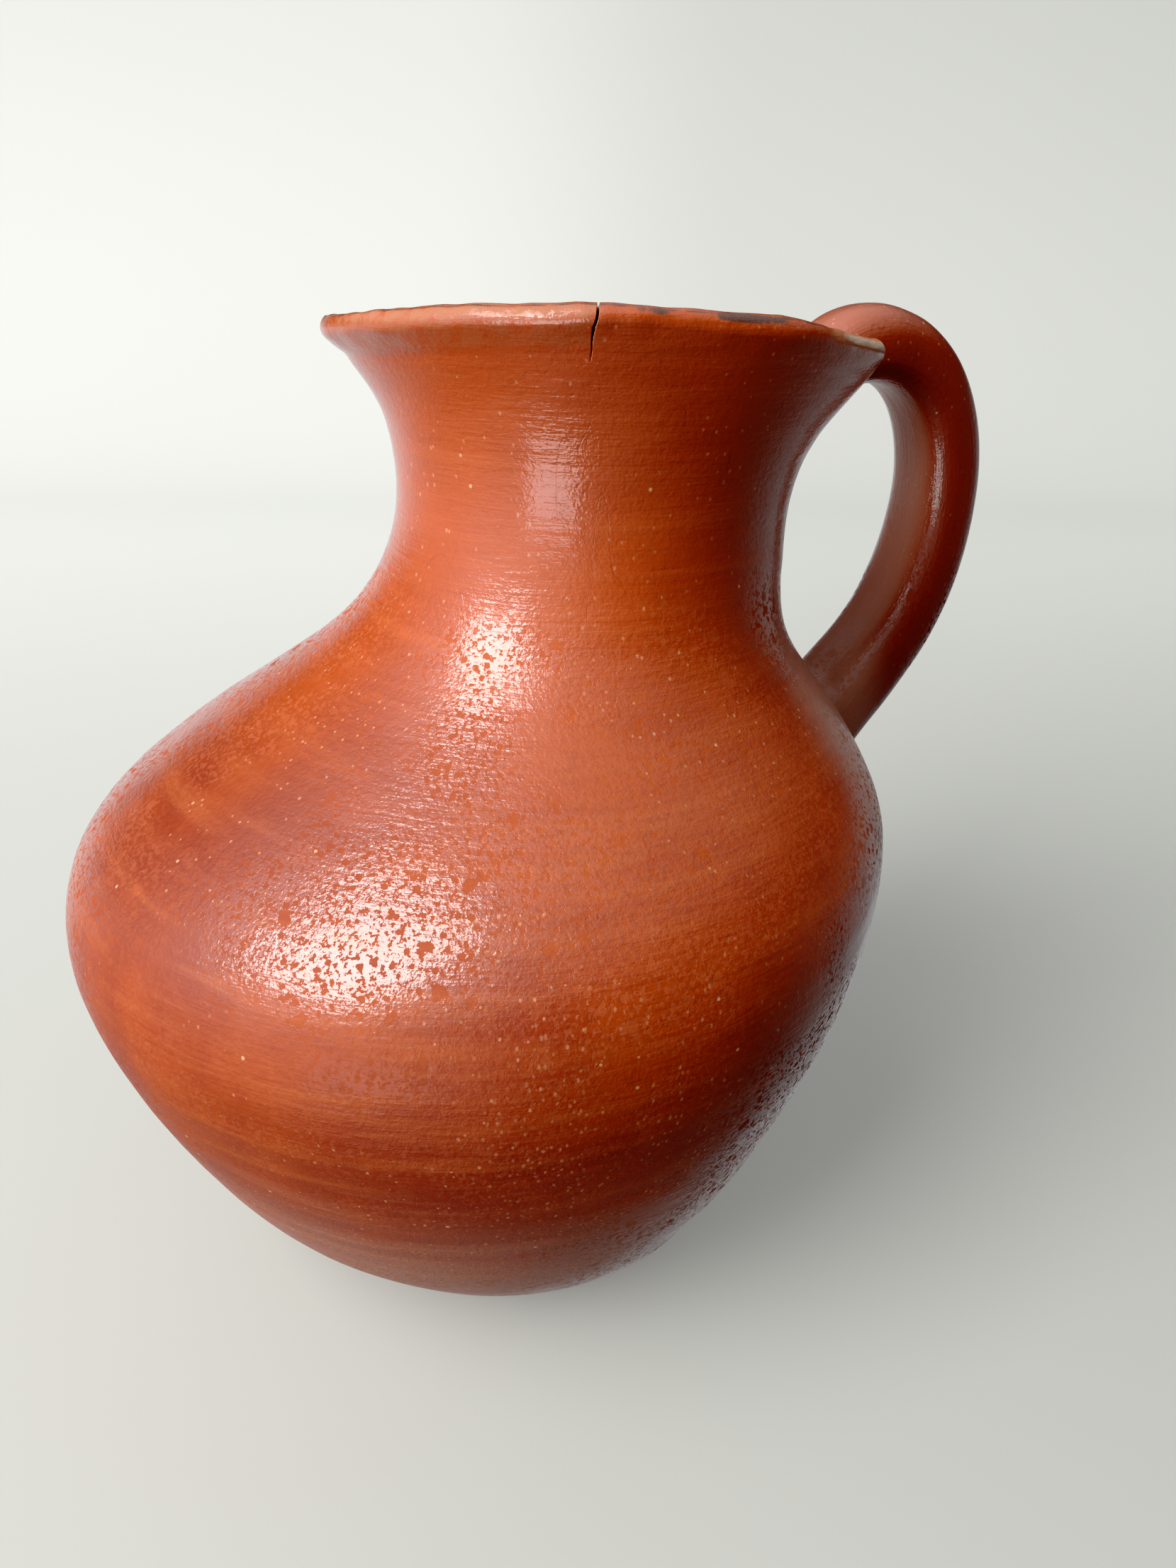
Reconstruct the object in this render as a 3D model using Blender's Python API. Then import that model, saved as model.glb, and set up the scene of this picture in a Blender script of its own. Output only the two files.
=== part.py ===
"""A small hand-built clay pitcher, as the separate pieces of clay that a potter joins.

The wall is a stack of rings on a dished pad. Each ring laps the one below it on a bevel that rises
towards the inside. The handle's ends are cut to the wall, and a wad of clay is worked round each.
Metres, +Z up, the handle towards +X, the foot on Z = 0 and the whole pitcher centred on the origin.
"""

import math

import bmesh
import bpy
import numpy as np
from mathutils import Matrix, Vector

MM = 0.001

# Outline of the wall's outer face in the plane of the handle: height, reach of the front from the
# foot's centre, and reach of the back. Every level section between them is a circle.
OUTLINE = np.array([
    (0.0, 35.0, 35.0),
    (4.5, 41.8, 35.3),
    (13.5, 51.9, 38.6),
    (30.0, 62.3, 45.9),
    (51.0, 70.7, 53.3),
    (69.0, 73.3, 56.6),
    (82.5, 65.5, 55.8),
    (94.5, 47.0, 48.9),
    (105.0, 30.8, 42.4),
    (117.0, 21.1, 41.5),
    (132.0, 18.7, 43.7),
    (142.5, 21.8, 49.4),
    (150.0, 26.8, 53.2),
]) * MM

# The foot's centre sits in front of the origin, so that belly and handle reach equally far.
FOOT_X = -7.95 * MM
FOOT_ROUND = 3.0 * MM

# Wall thickness from the foot to the lip: height, thickness.
WALL = np.array([
    (0.0, 5.6),
    (30.0, 5.2),
    (75.0, 5.0),
    (110.0, 4.6),
    (150.0, 4.2),
]) * MM
FLOOR_TOP = 6.5 * MM
FLOOR_RADIUS = 27.0 * MM

# The hand-formed rim is not level: it drops towards the handle, rises a little on one side and
# waves by a small amount. The unevenness starts part of the way up the neck.
RIM_UNEVEN_FROM = 108.0 * MM
RIM_UNEVEN_OVER = 42.0 * MM
RIM_TILT_X = -0.064
RIM_TILT_Y = -0.022
RIM_WAVE = 1.9 * MM
RIM_WAVE_TURN = math.radians(69.0)
LIP_ROUND_FROM = 148.0 * MM

# Heights on the outer face where one ring ends and the next begins, and how much higher the inner
# edge of each joint lies. GAP is the clearance between the clay faces of two pieces.
JOINTS = {
    "pad_top": 5.0 * MM,
    "lower_top": 36.0 * MM,
    "belly_top": 60.0 * MM,
    "upper_belly_top": 83.0 * MM,
    "shoulder_top": 103.0 * MM,
    "neck_top": 127.0 * MM,
    "flare_top": 143.0 * MM,
}
JOINT_RISE = 3.5 * MM
GAP = 0.3 * MM
JOINT_STEP = 0.4 * MM

# Centre line of the handle in the XZ plane, from the lip round to the shoulder, measured from the
# foot's centre, with half its thickness at each point.
HANDLE = np.array([
    (50.0, 140.2, 3.8),
    (54.5, 142.9, 5.5),
    (62.5, 144.8, 6.5),
    (72.0, 142.0, 6.6),
    (79.3, 133.5, 6.7),
    (82.4, 117.0, 7.0),
    (76.5, 99.0, 7.4),
    (63.5, 84.0, 7.9),
    (47.0, 68.0, 8.5),
]) * MM
HANDLE_WIDTH = 1.06

# The wads of clay round the handle's ends are flat bosses on the wall: centre, half sizes out from
# the wall, across it and up it, and how far the wall leans out there.
UPPER_LUTE_CENTRE = (48.8 * MM, 0.0, 139.8 * MM)
UPPER_LUTE_HALF = (4.2 * MM, 9.0 * MM, 8.4 * MM)
UPPER_LUTE_LEAN = math.radians(30.0)
LOWER_LUTE_CENTRE = (54.5 * MM, 0.0, 77.0 * MM)
LOWER_LUTE_HALF = (6.0 * MM, 11.5 * MM, 14.5 * MM)
LOWER_LUTE_LEAN = math.radians(-10.0)

SIDES = 48
ROW_STEP = 7.0 * MM
HANDLE_ROWS = 26
HANDLE_SIDES = 20

SLIP = (0.38, 0.075, 0.022)
SLIP_WORN = (0.42, 0.17, 0.08)
SLIP_ROUGHNESS = 0.32


def spline(knots, values):
    """Return a function that follows the natural cubic spline through the given points."""
    steps = np.diff(knots)
    slopes = np.diff(values) / steps
    matrix = np.eye(len(knots))
    right = np.zeros(len(knots))
    for row in range(1, len(knots) - 1):
        matrix[row, row - 1:row + 2] = (steps[row - 1], 2 * (steps[row - 1] + steps[row]), steps[row])
        right[row] = 6 * (slopes[row] - slopes[row - 1])
    bends = np.linalg.solve(matrix, right)

    def value(at):
        at = np.clip(at, knots[0], knots[-1])
        span = np.clip(np.searchsorted(knots, at) - 1, 0, len(steps) - 1)
        before = at - knots[span]
        after = knots[span + 1] - at
        step = steps[span]
        curve = (bends[span] * after ** 3 + bends[span + 1] * before ** 3) / (6 * step)
        line_low = (values[span] / step - bends[span] * step / 6) * after
        line_high = (values[span + 1] / step - bends[span + 1] * step / 6) * before
        return curve + line_low + line_high

    return value


front_reach = spline(OUTLINE[:, 0], OUTLINE[:, 1])
back_reach = spline(OUTLINE[:, 0], OUTLINE[:, 2])
ANGLES = np.arange(SIDES) * 2 * math.pi / SIDES


def outer_face(height, angle):
    """Points of the wall's outer face at a height and at angles round it, the handle at 0."""
    radius = (front_reach(height) + back_reach(height)) / 2
    centre = (back_reach(height) - front_reach(height)) / 2
    across = radius * np.cos(angle)
    along = radius * np.sin(angle)
    uneven = np.clip((height - RIM_UNEVEN_FROM) / RIM_UNEVEN_OVER, 0, 1) ** 1.5
    wave = RIM_WAVE * np.cos(2 * (angle - RIM_WAVE_TURN))
    rise = uneven * (RIM_TILT_X * across + RIM_TILT_Y * along + wave)
    return np.stack([centre + across, along, height + rise], axis=-1)


def unit(vectors):
    return vectors / np.linalg.norm(vectors, axis=-1, keepdims=True)


def wall_frame(height):
    """One level of the wall: its outer points, the directions up it and the outward normals."""
    small_height = 0.05 * MM
    small_angle = 0.001
    here = outer_face(height, ANGLES)
    upward = outer_face(height + small_height, ANGLES) - outer_face(height - small_height, ANGLES)
    around = outer_face(height, ANGLES + small_angle) - outer_face(height, ANGLES - small_angle)
    normal = unit(np.cross(around, upward))
    return here, unit(upward), normal


def wall_row(height, depth):
    """One ring of points at a depth under the outer face. A negative depth lies outside it."""
    here, upward, normal = wall_frame(height)
    return here - normal * depth


def thickness(height):
    return np.interp(height, WALL[:, 0], WALL[:, 1])


def foot_row(height, outset):
    """One ring on the rounded edge of the foot, below FOOT_ROUND."""
    here = outer_face(height, ANGLES)
    centre = (back_reach(height) - front_reach(height)) / 2
    radius = (front_reach(height) + back_reach(height)) / 2
    pulled_in = FOOT_ROUND - math.sqrt(max(FOOT_ROUND ** 2 - (FOOT_ROUND - height) ** 2, 0.0))
    scale = (radius - pulled_in + outset) / radius
    here[:, 0] = centre + (here[:, 0] - centre) * scale
    here[:, 1] = here[:, 1] * scale
    return here


def lip_rows(outset):
    """The rings of the half-round top of the lip, from its outer side over to its inner side."""
    here, upward, normal = wall_frame(LIP_ROUND_FROM)
    half = thickness(LIP_ROUND_FROM) / 2
    centre = here - normal * half
    rows = []
    for turn in np.radians((30, 60, 90, 120, 150)):
        reach = half + outset
        rows.append(centre + reach * (math.cos(turn) * normal + math.sin(turn) * upward))
    return rows


def heights(low, high):
    """Evenly stepped heights that include both ends, no further apart than ROW_STEP."""
    count = max(2, math.ceil((high - low) / ROW_STEP) + 1)
    return list(np.linspace(low, high, count))


def clay(name, colour):
    material = bpy.data.materials.new(name)
    material.use_nodes = True
    shader = material.node_tree.nodes["Principled BSDF"]
    shader.inputs["Base Color"].default_value = (*colour, 1.0)
    shader.inputs["Roughness"].default_value = SLIP_ROUGHNESS
    shader.inputs["Metallic"].default_value = 0.0
    material.diffuse_color = (*colour, 1.0)
    return material


def add_object(name, work, colour, parent):
    """Turn a bmesh into a smooth-shaded object under the pitcher's empty."""
    bmesh.ops.recalc_face_normals(work, faces=work.faces)
    mesh = bpy.data.meshes.new(name)
    work.to_mesh(mesh)
    work.free()
    mesh.shade_smooth()
    mesh.set_sharp_from_angle(angle=math.radians(40))
    mesh.materials.append(clay(name, colour))
    item = bpy.data.objects.new(name, mesh)
    bpy.context.scene.collection.objects.link(item)
    item.parent = parent
    return item


def make_cutter(item):
    item.hide_render = True
    item.display_type = "WIRE"


def cut(item, cutters):
    for cutter in cutters:
        modifier = item.modifiers.new("cut_" + cutter.name, "BOOLEAN")
        modifier.operation = "DIFFERENCE"
        modifier.solver = "EXACT"
        modifier.object = cutter


def skin(rows, closed):
    """Join rings of points with faces. An open stack gets a flat face on its first and last ring."""
    work = bmesh.new()
    rings = [[work.verts.new(Vector(point)) for point in row] for row in rows]
    pairs = list(zip(rings, rings[1:]))
    if closed:
        pairs.append((rings[-1], rings[0]))
    for low, high in pairs:
        for side in range(len(low)):
            beside = (side + 1) % len(low)
            work.faces.new((low[side], low[beside], high[beside], high[side]))
    if not closed:
        work.faces.new(rings[0])
        work.faces.new(rings[-1])
    return work


def wall_ring(name, low, high, colour, parent):
    """A ring of the wall between two joints, bevelled at both so that it laps its neighbours."""
    low = low + JOINT_STEP / 2
    high = high - JOINT_STEP / 2
    rows = [wall_row(height, 0.0) for height in heights(low, high)]
    inner = heights(low + JOINT_RISE, high + JOINT_RISE)
    rows += [wall_row(height, thickness(height)) for height in reversed(inner)]
    return add_object(name, skin(rows, closed=True), colour, parent)


def base_pad(parent):
    """The dished slab: a flat underside, a rounded foot, and a floor that curves up to the wall."""
    top = JOINTS["pad_top"] - JOINT_STEP / 2
    rows = [foot_row(height, 0.0) for height in (0.0, 0.4 * MM, 1.5 * MM)]
    rows += [wall_row(height, 0.0) for height in (FOOT_ROUND, top)]
    edge = wall_row(top + JOINT_RISE, thickness(top))
    floor = np.stack([
        FLOOR_RADIUS * np.cos(ANGLES),
        FLOOR_RADIUS * np.sin(ANGLES),
        np.full(SIDES, FLOOR_TOP),
    ], axis=-1)
    halfway = (edge + floor) / 2
    halfway[:, 2] -= 0.15 * (edge[:, 2] - FLOOR_TOP)
    rows += [edge, halfway, floor]
    return add_object("base_pad", skin(rows, closed=False), SLIP_WORN, parent)


def lip_coil(parent):
    """The coil that finishes the rim, half-round on top and bevelled where it sits on the flare."""
    low = JOINTS["flare_top"] + JOINT_STEP / 2
    inner_low = min(low + JOINT_RISE, LIP_ROUND_FROM - MM)
    rows = [wall_row(height, 0.0) for height in heights(low, LIP_ROUND_FROM)]
    rows += lip_rows(0.0)
    rows.append(wall_row(LIP_ROUND_FROM, thickness(LIP_ROUND_FROM)))
    rows.append(wall_row(inner_low, thickness(inner_low)))
    return add_object("lip_coil", skin(rows, closed=True), SLIP_WORN, parent)


def wall_envelope(parent):
    """The whole outer wall as one filled solid, GAP larger, to cut the handle's ends to it."""
    rows = [foot_row(height, GAP) for height in (0.0, 0.4 * MM, 1.5 * MM)]
    marks = [FOOT_ROUND, *JOINTS.values(), LIP_ROUND_FROM]
    for low, high in zip(marks, marks[1:]):
        rows += [wall_row(height, -GAP) for height in heights(low, high)[:-1]]
    rows.append(wall_row(LIP_ROUND_FROM, -GAP))
    rows += lip_rows(GAP)[:3]
    work = skin(rows, closed=False)
    item = add_object("wall_envelope", work, SLIP, parent)
    make_cutter(item)
    return item


def handle_rows(outset):
    """The handle's cross-sections from the lip to the shoulder, each an upright ellipse."""
    chords = np.hypot(np.diff(HANDLE[:, 0]), np.diff(HANDLE[:, 1]))
    along = np.concatenate([[0.0], np.cumsum(chords)])
    centre_x = spline(along, HANDLE[:, 0])
    centre_z = spline(along, HANDLE[:, 1])
    half = spline(along, HANDLE[:, 2])
    around = np.arange(HANDLE_SIDES) * 2 * math.pi / HANDLE_SIDES
    step = 0.1 * MM
    rows = []
    for at in np.linspace(0.0, along[-1], HANDLE_ROWS):
        run = np.array([
            centre_x(at + step) - centre_x(at - step),
            centre_z(at + step) - centre_z(at - step),
        ])
        run = unit(run)
        reach = half(at) + outset
        width = half(at) * HANDLE_WIDTH + outset
        rows.append(np.stack([
            centre_x(at) - run[1] * reach * np.cos(around),
            width * np.sin(around),
            centre_z(at) + run[0] * reach * np.cos(around),
        ], axis=-1))
    return rows


def handle(envelope, parent):
    item = add_object("handle", skin(handle_rows(0.0), closed=False), SLIP, parent)
    cut(item, [envelope])
    return item


def handle_envelope(parent):
    item = add_object("handle_envelope", skin(handle_rows(GAP), closed=False), SLIP, parent)
    make_cutter(item)
    return item


def lute(name, centre, half, lean, cutters, parent):
    """A wad of clay worked round one end of the handle, cut to the handle and to the wall."""
    work = bmesh.new()
    place = Matrix.Translation(centre) @ Matrix.Rotation(lean, 4, "Y")
    stretch = Matrix.Diagonal((*half, 1.0))
    bmesh.ops.create_uvsphere(work, u_segments=24, v_segments=14, radius=1.0, matrix=place @ stretch)
    item = add_object(name, work, SLIP, parent)
    cut(item, cutters)
    return item


def build():
    for item in list(bpy.data.objects):
        bpy.data.objects.remove(item)
    pitcher = bpy.data.objects.new("pitcher", None)
    pitcher.location = (FOOT_X, 0.0, 0.0)
    bpy.context.scene.collection.objects.link(pitcher)

    base_pad(pitcher)
    wall_ring("lower_wall", JOINTS["pad_top"], JOINTS["lower_top"], SLIP, pitcher)
    wall_ring("belly_band", JOINTS["lower_top"], JOINTS["belly_top"], SLIP, pitcher)
    wall_ring("upper_belly_band", JOINTS["belly_top"], JOINTS["upper_belly_top"], SLIP, pitcher)
    wall_ring("shoulder_band", JOINTS["upper_belly_top"], JOINTS["shoulder_top"], SLIP, pitcher)
    wall_ring("neck_band", JOINTS["shoulder_top"], JOINTS["neck_top"], SLIP, pitcher)
    wall_ring("mouth_flare", JOINTS["neck_top"], JOINTS["flare_top"], SLIP, pitcher)
    lip_coil(pitcher)

    wall_cutter = wall_envelope(pitcher)
    handle_cutter = handle_envelope(pitcher)
    handle(wall_cutter, pitcher)
    cutters = [wall_cutter, handle_cutter]
    lute("upper_lute", UPPER_LUTE_CENTRE, UPPER_LUTE_HALF, UPPER_LUTE_LEAN, cutters, pitcher)
    lute("lower_lute", LOWER_LUTE_CENTRE, LOWER_LUTE_HALF, LOWER_LUTE_LEAN, cutters, pitcher)


build()
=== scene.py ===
import itertools
import math

import bpy
import numpy as np
from mathutils import Matrix, Vector
from mathutils.bvhtree import BVHTree


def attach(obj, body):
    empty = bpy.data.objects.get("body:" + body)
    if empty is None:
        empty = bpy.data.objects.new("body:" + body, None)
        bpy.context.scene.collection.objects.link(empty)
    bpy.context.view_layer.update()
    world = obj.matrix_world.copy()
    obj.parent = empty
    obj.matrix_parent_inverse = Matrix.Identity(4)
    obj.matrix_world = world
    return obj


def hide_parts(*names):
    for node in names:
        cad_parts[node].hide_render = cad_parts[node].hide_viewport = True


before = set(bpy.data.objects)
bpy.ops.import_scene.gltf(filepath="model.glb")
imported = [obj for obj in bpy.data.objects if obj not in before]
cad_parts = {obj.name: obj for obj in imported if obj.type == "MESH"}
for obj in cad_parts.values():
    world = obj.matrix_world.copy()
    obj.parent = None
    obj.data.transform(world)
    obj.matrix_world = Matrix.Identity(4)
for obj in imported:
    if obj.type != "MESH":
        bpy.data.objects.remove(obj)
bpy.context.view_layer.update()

MM = 0.001

# All sizes are in metres and in the CAD's frame: x runs towards the handle and z is up. Angles
# round the wall start at the handle.

# The wall, as in the CAD: height, reach of the front and of the back from the foot's centre.
OUTLINE = np.array([
    (0.0, 35.0, 35.0),
    (4.5, 41.8, 35.3),
    (13.5, 51.9, 38.6),
    (30.0, 62.3, 45.9),
    (51.0, 70.7, 53.3),
    (69.0, 73.3, 56.6),
    (82.5, 65.5, 55.8),
    (94.5, 47.0, 48.9),
    (105.0, 30.8, 42.4),
    (117.0, 21.1, 41.5),
    (132.0, 18.7, 43.7),
    (142.5, 21.8, 49.4),
    (150.0, 26.8, 53.2),
]) * MM
# Wall thickness, as in the CAD: height, thickness.
WALL = np.array([
    (0.0, 5.6),
    (30.0, 5.2),
    (75.0, 5.0),
    (110.0, 4.6),
    (150.0, 4.2),
]) * MM
# The middle of the foot, as in the CAD.
FOOT_X = -7.95 * MM
FOOT_ROUND = 3.0 * MM
FLOOR_TOP = 6.5 * MM
FLOOR_RADIUS = 24.0 * MM
# The hand-formed rim, as in the CAD: where it stops being level, its tilt and its wave.
RIM_UNEVEN_FROM = 108.0 * MM
RIM_UNEVEN_OVER = 42.0 * MM
RIM_TILT_X = -0.064
RIM_TILT_Y = -0.022
RIM_WAVE = 1.9 * MM
RIM_WAVE_TURN = math.radians(69.0)
LIP_ROUND_FROM = 148.0 * MM
# Where one ring of clay ends and the next begins on the outer face, as in the CAD, and how much
# higher the inner edge of each joint lies.
JOINT_RISE = 3.5 * MM
JOINTS = {
    "pad_top": 5.0 * MM,
    "lower_top": 36.0 * MM,
    "belly_top": 60.0 * MM,
    "upper_belly_top": 83.0 * MM,
    "shoulder_top": 103.0 * MM,
    "neck_top": 127.0 * MM,
    "flare_top": 143.0 * MM,
}

# The handle's centre line from the foot's centre and its half thickness. It is the CAD's, but a
# little thicker near the rim.
HANDLE = np.array([
    (50.0, 140.2, 3.9),
    (54.5, 143.0, 5.7),
    (62.5, 145.2, 6.7),
    (72.0, 142.3, 6.7),
    (79.3, 133.5, 6.7),
    (82.0, 117.0, 6.95),
    (76.5, 99.0, 7.4),
    (63.5, 84.0, 7.9),
    (47.0, 68.0, 8.5),
]) * MM
HANDLE_WIDTH = 1.06
HANDLE_SQUARENESS = 2.6
HANDLE_INNER_FLATTENING = 0.84
END_STEP = 0.1 * MM

# The grid of the wall, and the steps over which its slopes are measured.
COLUMNS = 300
ROW_STEP = 1.3 * MM
LIP_ROW_STEP = 0.5 * MM
LIP_FINE_FROM = 139.0 * MM
LIP_TURNS = 18
POLE_RADIUS = 0.5 * MM
UNDERSIDE_RINGS = 9
FOOT_HEIGHTS = np.array([0.0, 0.06, 0.25, 0.6, 1.1, 1.8]) * MM
FLOOR_RINGS = 12
SMALL_HEIGHT = 0.05 * MM
SMALL_ANGLE = 0.001

# How far the skin lies inside the CAD's, which leaves room for its unevenness.
SKIN_ROOM = 0.35 * MM
# What hands, coils and rubbing leave on the skin: height, wavelength, seed.
SWELL_WIDE = (0.55 * MM, 46.0 * MM, 1)
SWELL_NARROW = (0.2 * MM, 17.0 * MM, 2)
STROKES_WIDE = (0.075 * MM, np.array([21.0, 21.0, 5.0]) * MM, 3)
STROKES_NARROW = (0.03 * MM, np.array([9.0, 9.0, 2.4]) * MM, 4)
INSIDE_RIDGES = (0.35 * MM, np.array([60.0, 60.0, 7.0]) * MM, 5)
LIP_WAVES = (0.42 * MM, 11.0 * MM, 6)
LIP_RIPPLES = (0.16 * MM, 3.6 * MM, 7)
FLOOR_WAVES = (0.25 * MM, 12.0 * MM, 8)
COIL_EDGE_BREAKS = (0.2 * MM, 14.0 * MM, 9)
HANDLE_SWELL = (0.4 * MM, 26.0 * MM, 21)
HANDLE_STROKES = (0.1 * MM, np.array([6.0, 6.0, 14.0]) * MM, 22)
HANDLE_SKIN_ROOM = 0.2 * MM
# The groove under the coil of the lip: height, half width, depth.
COIL_EDGE = (145.3 * MM, 0.7 * MM, 0.12 * MM)
# Where the rim is pushed out, where it sags, and where it is rolled: angle and spread in degrees,
# and how far.
PUSHED_OUT = ((160, 22, 1.4 * MM), (322, 17, 1.65 * MM))
SAGS = ((232, 52, 0.5 * MM), (82, 52, 1.9 * MM))
ROLL_HEIGHT, ROLL_SPREAD, ROLL_SIZE = 148.4 * MM, 1.9 * MM, 0.5 * MM

# Stretches of the rim in degrees: from where to where each one comes in, and goes out again.
ROLLED = (130, 160, 215, 250)
LEFT_OF_CRACK = (150, 200, 238, 243)
RIGHT_END = (284, 300, 322, 345)
SMALL_SMUDGE = (245, 248, 252, 256)
LARGE_SMUDGE = (260, 263, 270, 286)
# The painted shade line along the rim's top, where its inner side turns away from the light.
RIM_SHADE_LINE = (165, 200, 285, 300)

# The crack in the lip: its angle round the rim at its top, how far it leans over each millimetre of
# its length, and its size.
CRACK_TOP = math.radians(240.6)
CRACK_LEAN = math.radians(0.42)
CRACK_WANDER = math.radians(0.12)
CRACK_WANDERS = 9.0
CRACK_ABOVE = 2.0 * MM
CRACK_LENGTH = 5.4 * MM
CRACK_HALF_WIDTH = 0.15 * MM
CRACK_NARROWING = 0.75
CRACK_DEPTH = 1.5 * MM
CRACK_RIM_RADIUS = 38.0 * MM
CRACK_FINE_SPAN = math.radians(5.0)
CRACK_FINE_COLUMNS = 56
CRACK_FINE_GAP = 0.004


def new_object(name, data):
    item = bpy.data.objects.new(name, data)
    bpy.context.scene.collection.objects.link(item)
    return item


def spline(knots, values):
    """Return a function that follows the natural cubic spline through the given points."""
    steps = np.diff(knots)
    slopes = np.diff(values) / steps
    matrix = np.eye(len(knots))
    right = np.zeros(len(knots))
    for row in range(1, len(knots) - 1):
        before, after = steps[row - 1], steps[row]
        matrix[row, row - 1:row + 2] = (before, 2 * (before + after), after)
        right[row] = 6 * (slopes[row] - slopes[row - 1])
    bends = np.linalg.solve(matrix, right)

    def value(at):
        at = np.clip(at, knots[0], knots[-1])
        span = np.clip(np.searchsorted(knots, at) - 1, 0, len(steps) - 1)
        before = at - knots[span]
        after = knots[span + 1] - at
        step = steps[span]
        curve = (bends[span] * after ** 3 + bends[span + 1] * before ** 3) / (6 * step)
        line_low = (values[span] / step - bends[span] * step / 6) * after
        line_high = (values[span + 1] / step - bends[span + 1] * step / 6) * before
        return curve + line_low + line_high

    return value


def unit(vectors):
    return vectors / np.maximum(np.linalg.norm(vectors, axis=-1, keepdims=True), 1e-12)


def smooth_step(value, low, high):
    share = np.clip((value - low) / (high - low), 0.0, 1.0)
    return share * share * (3 - 2 * share)


def between(value, stretch):
    """1 on a stretch that comes in over its first two numbers and goes out over its last two."""
    rise_from, rise_to, fall_from, fall_to = stretch
    return smooth_step(value, rise_from, rise_to) * (1 - smooth_step(value, fall_from, fall_to))


def hump(value, middle, spread):
    """1 at the middle, falling off to both sides."""
    return np.exp(-((value - middle) / spread) ** 2)


def humps(value, rows):
    """The sum of humps, given as middle, spread and size."""
    return sum(size * hump(value, middle, spread) for middle, spread, size in rows)


def corner_slopes(cells, seed):
    """A fixed pseudo-random direction for each whole-numbered cell."""
    mixed = cells[..., 0] * 374761393 + cells[..., 1] * 668265263
    mixed = mixed + cells[..., 2] * 1440662683 + seed * 97463477
    mixed = mixed & 0xFFFFFFFF
    mixed = ((mixed ^ (mixed >> 13)) * 1274126177) & 0xFFFFFFFF
    mixed = mixed ^ (mixed >> 16)
    turn = (mixed & 4095) * (2 * math.pi / 4096)
    rise = ((mixed >> 12) & 4095) / 2047.5 - 1
    flat = np.sqrt(1 - rise ** 2)
    return np.stack([flat * np.cos(turn), flat * np.sin(turn), rise], axis=-1)


def noise_at(points, size, seed):
    """Smooth noise, about -1 to 1, at each point.

    Size is its wavelength, one number or one for each axis.
    """
    scaled = points / np.asarray(size)
    base = np.floor(scaled).astype(np.int64)
    part = scaled - base
    fade = part ** 3 * (part * (part * 6 - 15) + 10)
    total = np.zeros(points.shape[:-1])
    for corner in itertools.product((0, 1), repeat=3):
        corner = np.array(corner)
        weight = np.where(corner == 1, fade, 1 - fade).prod(axis=-1)
        total += weight * (corner_slopes(base + corner, seed) * (part - corner)).sum(axis=-1)
    return total * 1.6


def waves(points, kind):
    height, size, seed = kind
    return height * noise_at(points, size, seed)


front_reach = spline(OUTLINE[:, 0], OUTLINE[:, 1])
back_reach = spline(OUTLINE[:, 0], OUTLINE[:, 2])


def wall_angles():
    """Angles of the wall's columns, evenly spaced, with many more beside the crack."""
    even = np.arange(COLUMNS) * 2 * math.pi / COLUMNS
    shares = np.linspace(0.0, 1.0, CRACK_FINE_COLUMNS)
    fine = CRACK_TOP - CRACK_FINE_SPAN / 2 + shares * CRACK_FINE_SPAN
    outside = even[(even < fine[0] - CRACK_FINE_GAP) | (even > fine[-1] + CRACK_FINE_GAP)]
    return np.sort(np.concatenate([outside, fine]))


ANGLES = wall_angles()


def outer_face(height, angle):
    """Points of the smooth outer face at a height and at angles round it, the handle at 0."""
    radius = (front_reach(height) + back_reach(height)) / 2
    centre = (back_reach(height) - front_reach(height)) / 2
    across = radius * np.cos(angle)
    along = radius * np.sin(angle)
    uneven = np.clip((height - RIM_UNEVEN_FROM) / RIM_UNEVEN_OVER, 0, 1) ** 1.5
    wave = RIM_WAVE * np.cos(2 * (angle - RIM_WAVE_TURN))
    rise = uneven * (RIM_TILT_X * across + RIM_TILT_Y * along + wave)
    return np.stack([FOOT_X + centre + across, along, height + rise], axis=-1)


def wall_frame(height):
    """One level of the wall: its outer points, the directions up it and the outward normals."""
    here = outer_face(height, ANGLES)
    upward = outer_face(height + SMALL_HEIGHT, ANGLES) - outer_face(height - SMALL_HEIGHT, ANGLES)
    around = outer_face(height, ANGLES + SMALL_ANGLE) - outer_face(height, ANGLES - SMALL_ANGLE)
    return here, unit(upward), unit(np.cross(around, upward))


def thickness(height):
    return np.interp(height, WALL[:, 0], WALL[:, 1])


def wall_row(height, depth):
    here, upward, normal = wall_frame(height)
    return here - normal * depth


def foot_row(height):
    """One ring on the rounded edge of the foot, below FOOT_ROUND."""
    here = outer_face(height, ANGLES)
    middle = FOOT_X + (back_reach(height) - front_reach(height)) / 2
    radius = (front_reach(height) + back_reach(height)) / 2
    pulled_in = FOOT_ROUND - math.sqrt(max(FOOT_ROUND ** 2 - (FOOT_ROUND - height) ** 2, 0.0))
    scale = (radius - pulled_in) / radius
    here[:, 0] = middle + (here[:, 0] - middle) * scale
    here[:, 1] = here[:, 1] * scale
    return here


def disc_row(radius, height):
    return np.stack([
        FOOT_X + radius * np.cos(ANGLES),
        radius * np.sin(ANGLES),
        np.full(len(ANGLES), height),
    ], axis=-1)


class Ribbon:
    """The whole wall as rings, from the middle of the underside over the lip to the floor's middle.

    height is each ring's height on the outer face, and side runs from 0 outside to 1 inside.
    marks says which ring, outside and inside, each joint falls on.
    """

    def __init__(self):
        self.rows = []
        self.height = []
        self.side = []
        self.marks = {}

    def add(self, row, height, side):
        self.rows.append(row)
        self.height.append(height)
        self.side.append(side)

    def mark(self, name):
        self.marks[name] = len(self.rows) - 1


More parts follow.
